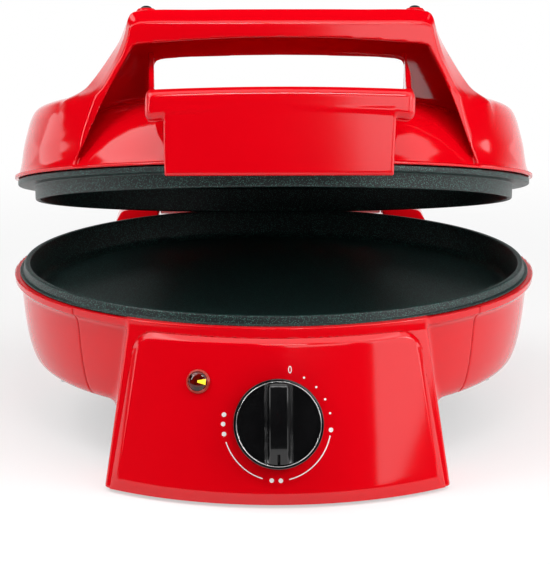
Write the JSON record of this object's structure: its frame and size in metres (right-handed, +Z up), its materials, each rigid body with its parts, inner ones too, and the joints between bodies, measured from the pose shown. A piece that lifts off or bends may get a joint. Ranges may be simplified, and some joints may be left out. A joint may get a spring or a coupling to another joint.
{
  "type": "electric pizza maker",
  "caption": "Round countertop pizza cooker with a hinged lid, a bridge handle, non-stick pans, a front pod with a control knob and lamp, and heating parts inside.",
  "frame": {"origin": "on the table plane under the middle of the whole object's box, with the lid at its pictured opening", "axes": "+Z up, +Y to the back where the hinge is, +X to the right of someone facing the control knob"},
  "size_m": [0.3228, 0.3876, 0.2663],
  "materials": {
    "red_plastic": "glossy red moulded heat-proof plastic",
    "black_plastic": "matt black moulded plastic",
    "black_gloss": "gloss black moulded plastic",
    "rubber": "matt black rubber",
    "steel": "plain steel",
    "nylon": "natural nylon",
    "non_stick": "aluminium with a dark speckled non-stick coating",
    "element_steel": "dull steel tube of a heating element",
    "bright_sheet": "bright sheet metal",
    "ceramic": "unglazed cream ceramic",
    "chrome": "bright chrome trim",
    "amber_lens": "translucent amber plastic"
  },
  "bodies": {
    "base": {"base_shell": "red_plastic", "front_fascia": "red_plastic", "control_panel": "red_plastic", "pod_floor": "black_plastic", "bottom_cover": "black_plastic", "rear_leg_left": "black_plastic", "rear_leg_right": "black_plastic", "rubber_foot_front_left": "rubber", "rubber_foot_front_right": "rubber", "rubber_foot_rear_left": "rubber", "rubber_foot_rear_right": "rubber", "cover_screw_1": "steel", "cover_screw_2": "steel", "cover_screw_3": "steel", "cover_screw_4": "steel", "cord_gland": "rubber", "hinge_pin_left": "steel", "hinge_pin_right": "steel", "lower_pan": "non_stick", "lower_heating_element": "element_steel", "lower_heat_reflector": "bright_sheet", "terminal_block": "ceramic", "thermostat_body": "bright_sheet", "thermostat_nut": "steel", "indicator_lens": "amber_lens", "indicator_holder": "black_plastic"},
    "knob": {"control_knob": "black_gloss", "knob_trim_ring": "chrome", "thermostat_shaft": "steel"},
    "lid": {"lid_shell": "red_plastic", "handle_insert": "red_plastic", "upper_pan": "non_stick", "upper_heating_element": "element_steel", "upper_heat_reflector": "bright_sheet", "hinge_bush_left": "nylon", "hinge_bush_right": "nylon", "lid_foot_cup_left": "red_plastic", "lid_foot_cup_right": "red_plastic", "lid_foot_left": "rubber", "lid_foot_right": "rubber"}
  },
  "joints": [
    {"name": "lid_hinge", "type": "hinge", "parent": "base", "child": "lid", "pos_m": [0, 0.1853, 0.102], "axis": [-1, 0, 0], "range_deg": [-14.15, 165.85]},
    {"name": "knob_turn", "type": "hinge", "parent": "base", "child": "knob", "pos_m": [0, -0.17109, 0.04587], "axis": [0, 0.9567, -0.2911], "range_deg": [-168, 95]}
  ]
}
